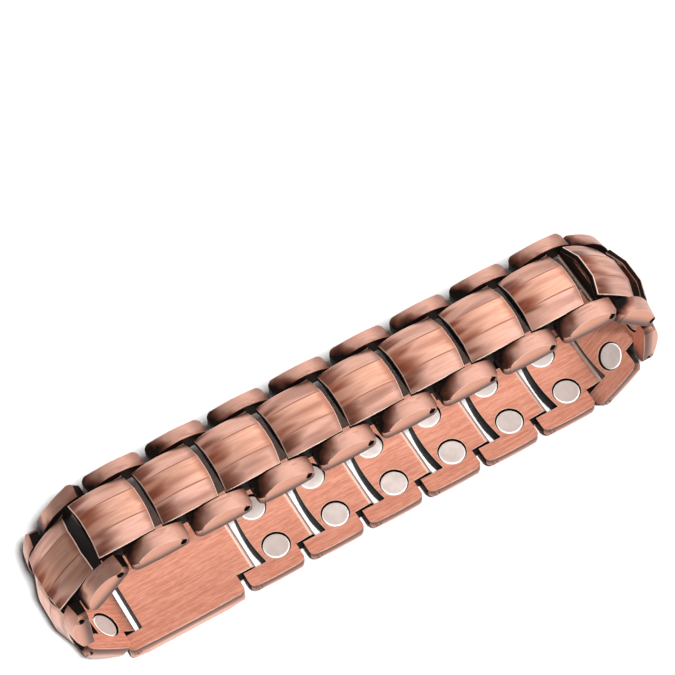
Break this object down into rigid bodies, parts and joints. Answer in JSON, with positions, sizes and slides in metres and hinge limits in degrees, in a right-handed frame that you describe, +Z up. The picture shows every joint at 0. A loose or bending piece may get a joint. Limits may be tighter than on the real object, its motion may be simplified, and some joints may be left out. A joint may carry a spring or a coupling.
{
  "type": "magnetic bracelet",
  "caption": "Closed link bracelet of antique copper castings with domed three-panel tiles and side lugs, pinned hinges, disc magnets set into the flat inner faces and a plain clasp bar.",
  "frame": {"origin": "centre of the closed loop in plan, on the surface that its lower run lies on", "axes": "X along the straight runs, Y along the hinge pins across the strip, Z up"},
  "size_m": [0.0952, 0.0158, 0.028],
  "materials": {
    "link_metal": "brushed antique copper plating, darkened in the recesses",
    "clasp_metal": "brushed antique copper plating",
    "magnet": "satin nickel-plated disc",
    "pin_steel": "darkened steel pin"
  },
  "bodies": {
    "root": {"link_01": "link_metal", "link_02": "link_metal", "link_03": "link_metal", "link_04": "link_metal", "link_05": "link_metal", "link_06": "link_metal", "link_07": "link_metal", "link_08": "link_metal", "link_09": "link_metal", "link_10": "link_metal", "link_11": "link_metal", "link_12": "link_metal", "link_13": "link_metal", "link_14": "link_metal", "link_15": "link_metal", "link_16": "link_metal", "link_17": "link_metal", "link_18": "link_metal", "link_19": "link_metal", "link_20": "link_metal", "magnets_01": "magnet", "magnets_02": "magnet", "magnets_03": "magnet", "magnets_04": "magnet", "magnets_05": "magnet", "magnets_06": "magnet", "magnets_07": "magnet", "magnets_08": "magnet", "magnets_09": "magnet", "magnets_10": "magnet", "magnets_11": "magnet", "magnets_12": "magnet", "magnets_13": "magnet", "magnets_14": "magnet", "magnets_15": "magnet", "magnets_16": "magnet", "magnets_17": "magnet", "magnets_18": "magnet", "magnets_19": "magnet", "magnets_20": "magnet", "clasp": "clasp_metal", "hinge_pins": "pin_steel"}
  },
  "joints": []
}
